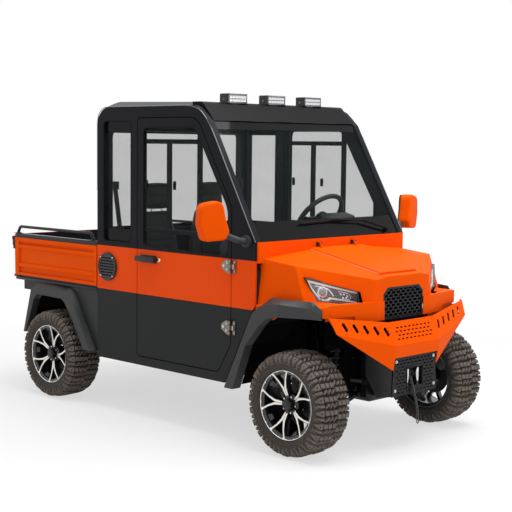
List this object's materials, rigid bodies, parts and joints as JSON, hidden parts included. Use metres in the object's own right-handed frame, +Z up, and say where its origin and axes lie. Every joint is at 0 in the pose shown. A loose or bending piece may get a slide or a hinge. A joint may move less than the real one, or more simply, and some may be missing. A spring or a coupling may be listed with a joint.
{
  "type": "side by side utility vehicle with enclosed cab and tipping cargo bed",
  "caption": "Two seat side by side utility vehicle with an enclosed cab, orange and dark grey panels, slotted steel bumper with winch, and a tipping cargo bed",
  "frame": {"origin": "on the ground below the middle of the overall length and width", "axes": "+X forward, +Y to the vehicle's left, +Z up"},
  "size_m": [3.033, 1.9378, 2.001],
  "materials": {
    "black_frame": "satin",
    "cab_paint": "satin",
    "orange_paint": "gloss",
    "black_plastic": "matte",
    "glass_tint": "gloss",
    "lamp_glass": "gloss",
    "tail_red": "gloss",
    "tyre_rubber": "matte",
    "rim_alloy": "satin",
    "bare_steel": "satin",
    "drive_alloy": "matte",
    "seat_vinyl": "matte",
    "strap_web": "matte"
  },
  "bodies": {
    "chassis": {"chassis_frame": "black_frame", "floor_pan": "black_frame", "rear_wall": "cab_paint", "cab_windows": "glass_tint", "roof_panel": "cab_paint", "roof_visor": "black_plastic", "windscreen": "glass_tint", "roof_lamps": "black_plastic", "hinge_brackets": "bare_steel", "front_body": "orange_paint", "grille": "black_plastic", "headlamps": "lamp_glass", "front_flares": "black_plastic", "rear_flares": "black_plastic", "rear_side_panels": "cab_paint", "arch_liners": "black_plastic", "front_bumper": "orange_paint", "winch_plate": "cab_paint", "winch": "bare_steel", "winch_strap": "strap_web", "strap_fittings": "strap_web", "suspension_arms": "black_frame", "rear_uprights": "drive_alloy", "shock_absorbers": "black_frame", "drive_unit": "drive_alloy", "dashboard": "black_plastic", "seat_base": "black_plastic", "seat_cushions": "seat_vinyl", "seat_backs": "seat_vinyl", "mirror_housings": "orange_paint", "mirror_arms": "black_plastic", "wiper": "black_plastic", "side_vents": "black_plastic", "rear_bumper": "black_frame", "rear_lamps": "tail_red", "cab_side_right": "cab_paint", "cab_side_left": "cab_paint"},
    "bonnet": {"bonnet_lid": "orange_paint"},
    "bed": {"bed_tub": "black_plastic", "bed_side_panels": "orange_paint", "bed_rails": "black_frame"},
    "tailgate": {"tailgate": "orange_paint"},
    "steering": {"steering_wheel": "black_plastic"},
    "door_right": {"door_shell_right": "cab_paint", "door_glass_right": "glass_tint", "door_hardware_right": "bare_steel"},
    "knuckle_right": {"knuckle_right": "drive_alloy"},
    "wheel_front_right": {"tyre_front_right": "tyre_rubber", "rim_front_right": "rim_alloy"},
    "wheel_rear_right": {"tyre_rear_right": "tyre_rubber", "rim_rear_right": "rim_alloy"},
    "door_left": {"door_shell_left": "cab_paint", "door_glass_left": "glass_tint", "door_hardware_left": "bare_steel"},
    "knuckle_left": {"knuckle_left": "drive_alloy"},
    "wheel_front_left": {"tyre_front_left": "tyre_rubber", "rim_front_left": "rim_alloy"},
    "wheel_rear_left": {"tyre_rear_left": "tyre_rubber", "rim_rear_left": "rim_alloy"}
  },
  "joints": [
    {"name": "door_right_hinge", "type": "hinge", "parent": "chassis", "child": "door_right", "pos_m": [0.682, -0.684, 0.8], "axis": [0, 0, 1], "range_deg": [0, 62]},
    {"name": "door_left_hinge", "type": "hinge", "parent": "chassis", "child": "door_left", "pos_m": [0.682, 0.684, 0.8], "axis": [0, 0, -1], "range_deg": [0, 62]},
    {"name": "bonnet_hinge", "type": "hinge", "parent": "chassis", "child": "bonnet", "pos_m": [0.889, 0, 1.128], "axis": [0, -1, 0], "range_deg": [0, 50]},
    {"name": "bed_tilt", "type": "hinge", "parent": "chassis", "child": "bed", "pos_m": [-1.42, 0, 0.738], "axis": [0, -1, 0], "range_deg": [0, 45]},
    {"name": "tailgate_hinge", "type": "hinge", "parent": "bed", "child": "tailgate", "pos_m": [-1.495, 0, 0.778], "axis": [0, -1, 0], "range_deg": [0, 90]},
    {"name": "steer_right", "type": "hinge", "parent": "chassis", "child": "knuckle_right", "pos_m": [1.166, -0.52, 0.292], "axis": [0, 0, 1], "range_deg": [-28, 28]},
    {"name": "steer_left", "type": "hinge", "parent": "chassis", "child": "knuckle_left", "pos_m": [1.166, 0.52, 0.292], "axis": [0, 0, 1], "range_deg": [-28, 28]},
    {"name": "steering_turn", "type": "hinge", "parent": "chassis", "child": "steering", "pos_m": [0.5, 0.28, 1.247], "axis": [-0.8, 0, 0.6], "range_deg": [-336, 336]},
    {"name": "wheel_front_right_spin", "type": "hinge", "parent": "knuckle_right", "child": "wheel_front_right", "pos_m": [1.166, -0.617, 0.292], "axis": [0, 1, 0], "continuous": true},
    {"name": "wheel_rear_right_spin", "type": "hinge", "parent": "chassis", "child": "wheel_rear_right", "pos_m": [-1.009, -0.617, 0.292], "axis": [0, 1, 0], "continuous": true},
    {"name": "wheel_front_left_spin", "type": "hinge", "parent": "knuckle_left", "child": "wheel_front_left", "pos_m": [1.166, 0.617, 0.292], "axis": [0, 1, 0], "continuous": true},
    {"name": "wheel_rear_left_spin", "type": "hinge", "parent": "chassis", "child": "wheel_rear_left", "pos_m": [-1.009, 0.617, 0.292], "axis": [0, 1, 0], "continuous": true}
  ],
  "couplings": [
    {"joint": "steer_left", "follows": "steer_right", "ratio": 1},
    {"joint": "steering_turn", "follows": "steer_right", "ratio": 12}
  ]
}
